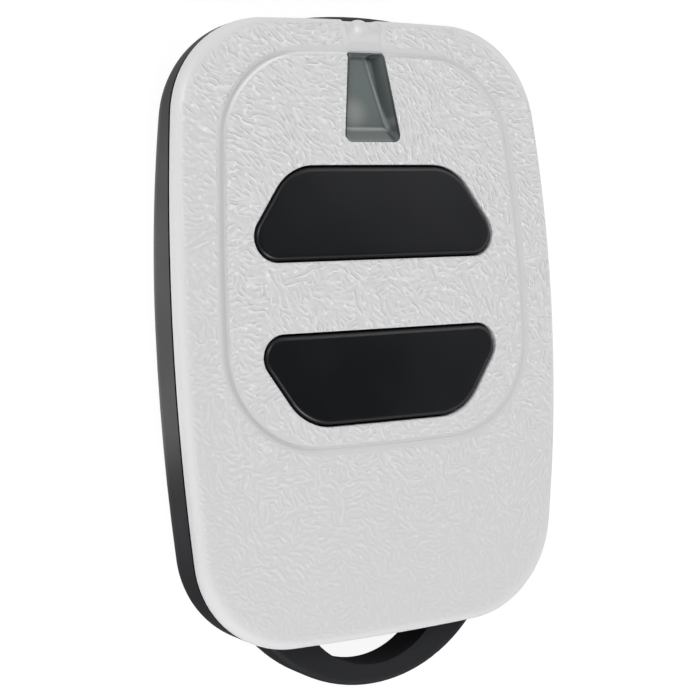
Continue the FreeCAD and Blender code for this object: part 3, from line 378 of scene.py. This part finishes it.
def scattered(tree, place_mm, per_mm):
    """Cells scattered over the face: the distance to the nearest one's middle, and its random numbers."""
    cells = add_node(tree, "TexVoronoi", {"Vector": place_mm, "Scale": per_mm, "Randomness": 1.0},
                     voronoi_dimensions="2D")
    return cells.outputs["Distance"], add_node(tree, "SeparateColor", {0: cells.outputs["Color"]}).outputs


# The ridges of a patch share one direction, in radians. Towards the window end the patches differ less. Over
# the whole face the direction also sways a little and drifts slowly, and breaks part the ridges. A pip stands
# in about half of the cells of a second, finer pattern.
patches_per_mm, breaks_per_mm = 0.62, 0.85
least_turning, more_turning = 0.3, 1.8
sway_per_mm, sway = 0.42, 0.9
drift_per_mm, drift = 0.09, 1.7
turn_at_window_end = 0.6
pips_per_mm, cells_without_pip = 0.95, 0.52
least_pip_radius, more_pip_radius = 0.09, 0.10
ridges, given, put_out = start_group("etched_ridges", [], ["Ridges", "Pips"])
place_mm = in_millimetres(ridges, given["Vector"])
y = add_node(ridges, "SeparateXYZ", {0: place_mm}).outputs[1]
patch_numbers = scattered(ridges, place_mm, patches_per_mm)[1]
turning = sums(ridges, "MULTIPLY_ADD", soft_step(ridges, y, start=17.0, end=8.0), more_turning, least_turning)
angle = sums(ridges, "MULTIPLY", centred(ridges, patch_numbers[0]), turning)
swayed = centred(ridges, flat_noise(ridges, place_mm, sway_per_mm))
angle = sums(ridges, "MULTIPLY_ADD", swayed, sway, angle)
angle = sums(ridges, "MULTIPLY_ADD", flat_noise(ridges, place_mm, drift_per_mm), drift, angle)
near_window = soft_step(ridges, y, start=16.0, end=31.0)
angle = sums(ridges, "MULTIPLY_ADD", near_window, turn_at_window_end, angle)
stripes = add_node(ridges, "TexGabor", {"Vector": place_mm, "Orientation": angle, "Scale": 1.65,
                                        "Frequency": 0.93, "Anisotropy": 0.93}, gabor_type="2D")
ridge = soft_step(ridges, stripes.outputs["Value"], start=0.32, end=0.76)
broken = soft_step(ridges, flat_noise(ridges, place_mm, breaks_per_mm), start=0.28, end=0.46, first=0.45)
ridge = sums(ridges, "MULTIPLY", ridge, broken)
to_middle, pip_numbers = scattered(ridges, place_mm, pips_per_mm)
radius = sums(ridges, "MULTIPLY_ADD", pip_numbers[0], more_pip_radius, least_pip_radius)
pip = soft_step(ridges, sums(ridges, "DIVIDE", to_middle, radius), start=1.5, end=0.2)
pip = sums(ridges, "MULTIPLY", pip, sums(ridges, "GREATER_THAN", pip_numbers[1], cells_without_pip))
feed(ridges, put_out, {"Ridges": ridge, "Pips": pip})

# How far a place lies inside a bowed, round-cornered outline. All its sizes are in millimetres: each bow is
# the radius of a side's arc, and the outline is widest at one place along the remote.
outline, given, put_out = start_group(
    "distance_inside_outline", ["Half width", "Widest at", "Side bow", "Top", "Top bow", "Bottom",
                                "Bottom bow", "Top corner", "Bottom corner"], ["Inset"])
place = add_node(outline, "SeparateXYZ", {0: in_millimetres(outline, given["Vector"])}).outputs
x, y = sums(outline, "ABSOLUTE", place[0]), place[1]


def long_side(tree, a, b):
    """The long side of a right-angled triangle, from its two short ones."""
    both = add_node(tree, "CombineXYZ", {0: a, 1: b}).outputs[0]
    return add_node(tree, "VectorMath", {0: both}, operation="LENGTH").outputs["Value"]


across = sums(outline, "ADD", sums(outline, "SUBTRACT", x, given["Half width"]), given["Side bow"])
rise = sums(outline, "SUBTRACT", y, given["Widest at"])
from_side = sums(outline, "SUBTRACT", given["Side bow"], long_side(outline, across, rise))
rise = sums(outline, "ADD", sums(outline, "SUBTRACT", y, given["Top"]), given["Top bow"])
from_top = sums(outline, "SUBTRACT", given["Top bow"], long_side(outline, x, rise))
rise = sums(outline, "SUBTRACT", sums(outline, "SUBTRACT", y, given["Bottom"]), given["Bottom bow"])
from_bottom = sums(outline, "SUBTRACT", given["Bottom bow"], long_side(outline, x, rise))
insets = []
for from_end, corner in ((from_top, given["Top corner"]), (from_bottom, given["Bottom corner"])):
    past_side = sums(outline, "MAXIMUM", sums(outline, "SUBTRACT", corner, from_side), 0.0)
    past_end = sums(outline, "MAXIMUM", sums(outline, "SUBTRACT", corner, from_end), 0.0)
    insets.append(sums(outline, "SUBTRACT", corner, long_side(outline, past_side, past_end)))
feed(outline, put_out, {"Inset": sums(outline, "MINIMUM", *insets)})

case_sizes = {"Half width": 21.7, "Widest at": 0.7, "Side bow": 228.0, "Top": 31.0, "Top bow": 440.0,
              "Bottom": -31.0, "Bottom bow": 510.0, "Top corner": 10.3, "Bottom corner": 10.2}
panel_sizes = {"Half width": 17.3, "Widest at": -1.2, "Side bow": 214.0, "Top": 27.66, "Top bow": 272.0,
               "Bottom": -11.44, "Bottom bow": 241.0, "Top corner": 8.4, "Bottom corner": 9.6}
channel_outside_panel, lip_inside_panel = 0.10, 0.20
scoop_half_width, scoop_bottom_y = 2.2, 27.5
nub_glint_at = (-0.80, 30.0, 7.7)
pale, tree, shader = start_finish("pale_cover_plastic")
place = place_on(tree)
place_mm = in_millimetres(tree, place)
x, y = add_node(tree, "SeparateXYZ", {0: place_mm}).outputs[:2]
in_case = add_node(tree, "Group", dict(case_sizes, Vector=place), node_tree=outline).outputs["Inset"]
in_panel = add_node(tree, "Group", dict(panel_sizes, Vector=place), node_tree=outline).outputs["Inset"]
off_channel = sums(tree, "ABSOLUTE", sums(tree, "ADD", in_panel, channel_outside_panel))
beside_scoop = sums(tree, "SUBTRACT", sums(tree, "ABSOLUTE", x), scoop_half_width)
off_scoop = sums(tree, "MAXIMUM", beside_scoop, sums(tree, "SUBTRACT", scoop_bottom_y, y))

# Where the etching is: inside the rim, off the channel and off the scoop. It is weaker along the left side,
# but not near the window end, and fades towards the loop end.
inside_rim = soft_step(tree, in_case, start=0.25, end=0.8)
beside_channel = soft_step(tree, off_channel, start=0.36, end=0.60)
beyond_scoop = soft_step(tree, off_scoop, start=-0.1, end=0.8)
off_left_side = sums(tree, "MAXIMUM", soft_step(tree, x, start=-20.0, end=-15.5, first=0.6),
                    soft_step(tree, y, start=15.0, end=24.0))
worms = add_node(tree, "Group", {"Vector": place}, node_tree=ridges)
ridge, pip = worms.outputs["Ridges"], worms.outputs["Pips"]
for mask in (inside_rim, beside_channel, beyond_scoop, off_left_side):
    ridge = sums(tree, "MULTIPLY", ridge, mask)
    pip = sums(tree, "MULTIPLY", pip, mask)
ridge = sums(tree, "MULTIPLY", ridge, soft_step(tree, y, start=-38.0, end=24.0, first=0.14))
pip = sums(tree, "MULTIPLY", pip, soft_step(tree, y, start=-30.0, end=22.0, first=0.18))
etched_depth, pip_height = 0.00016, 0.4
pip_paler, ridge_paler = 0.95, 0.8
grain = sums(tree, "MULTIPLY_ADD", pip, pip_height, ridge)
bump = add_node(tree, "Bump", {"Height": grain, "Strength": 1.0, "Distance": etched_depth})

# Colour, most of it painted light: the ridges and pips are painted paler, the left of the channel has painted
# shade, and the upper edge of the key panel, a spot on the nub and the rim have painted highlights.
plain_colour, raised_colour = (0.626, 0.624, 0.633, 1), (0.842, 0.840, 0.849, 1)
# Painted light: the ridges and pips are painted paler, standing in for their lit tops and the shade between
# them.
painted_ridge_light = sums(tree, "MULTIPLY_ADD", pip, pip_paler, sums(tree, "MULTIPLY", ridge, ridge_paler))
tone = lay_over(tree, plain_colour, painted_ridge_light, raised_colour)
# Painted shade: the left part of the channel round the key panel is tinted darker.
painted_channel_shade = sums(tree, "MULTIPLY", soft_step(tree, off_channel, start=0.42, end=0.10),
                    soft_step(tree, x, start=-6.0, end=-14.0))
# Painted highlight: a pale line on the upper edge of the key panel, beside the channel.
off_lip = sums(tree, "ABSOLUTE", sums(tree, "SUBTRACT", in_panel, lip_inside_panel))
painted_panel_edge_highlight = sums(tree, "MULTIPLY", soft_step(tree, off_lip, start=0.26, end=0.05),
                  soft_step(tree, y, start=18.0, end=25.0))
painted_panel_edge_highlight = sums(tree, "MULTIPLY", painted_panel_edge_highlight, soft_step(tree, x, start=5.0, end=-2.0))
# Painted highlight: a pale spot on the upper left of the nub.
to_glint = add_node(tree, "VectorMath", {0: place_mm, 1: nub_glint_at}, operation="DISTANCE")
nub_glint = soft_step(tree, to_glint.outputs["Value"], start=0.9, end=0.0)
# Painted highlight: the rounded rim is painted lighter towards its outer edge, less so towards the loop end.
painted_rim_highlight = sums(tree, "MULTIPLY", soft_step(tree, in_case, start=1.2, end=0.0),
           soft_step(tree, y, start=-40.0, end=-12.0, first=0.3))
for mask, colour in ((painted_channel_shade, (0.535, 0.537, 0.542, 1)), (painted_panel_edge_highlight, (0.800, 0.800, 0.805, 1)),
                     (nub_glint, (0.80, 0.80, 0.80, 1)), (painted_rim_highlight, (0.705, 0.705, 0.71, 1))):
    tone = lay_over(tree, tone, mask, colour)

# Gloss: the etched face is duller than the bare plastic and a little glossier on its ridges, and the rim is
# rubbed dull at the loop end.
bare_rough, etched_rougher, ridge_rougher, rubbed_rougher = 0.33, 0.09, -0.10, 0.25
etched = sums(tree, "MULTIPLY", inside_rim, beyond_scoop)
rough = sums(tree, "MULTIPLY_ADD", etched, etched_rougher, bare_rough)
rubbed = sums(tree, "MULTIPLY", soft_step(tree, in_case, start=1.8, end=0.6),
              soft_step(tree, y, start=-12.0, end=-24.0))
rough = sums(tree, "MULTIPLY_ADD", rubbed, rubbed_rougher, rough)
rough = sums(tree, "MULTIPLY_ADD", grain, ridge_rougher, rough)
feed(tree, shader, {"Base Color": tone, "Normal": bump.outputs[0], "Roughness": rough})
dress(["front_cover"], pale)
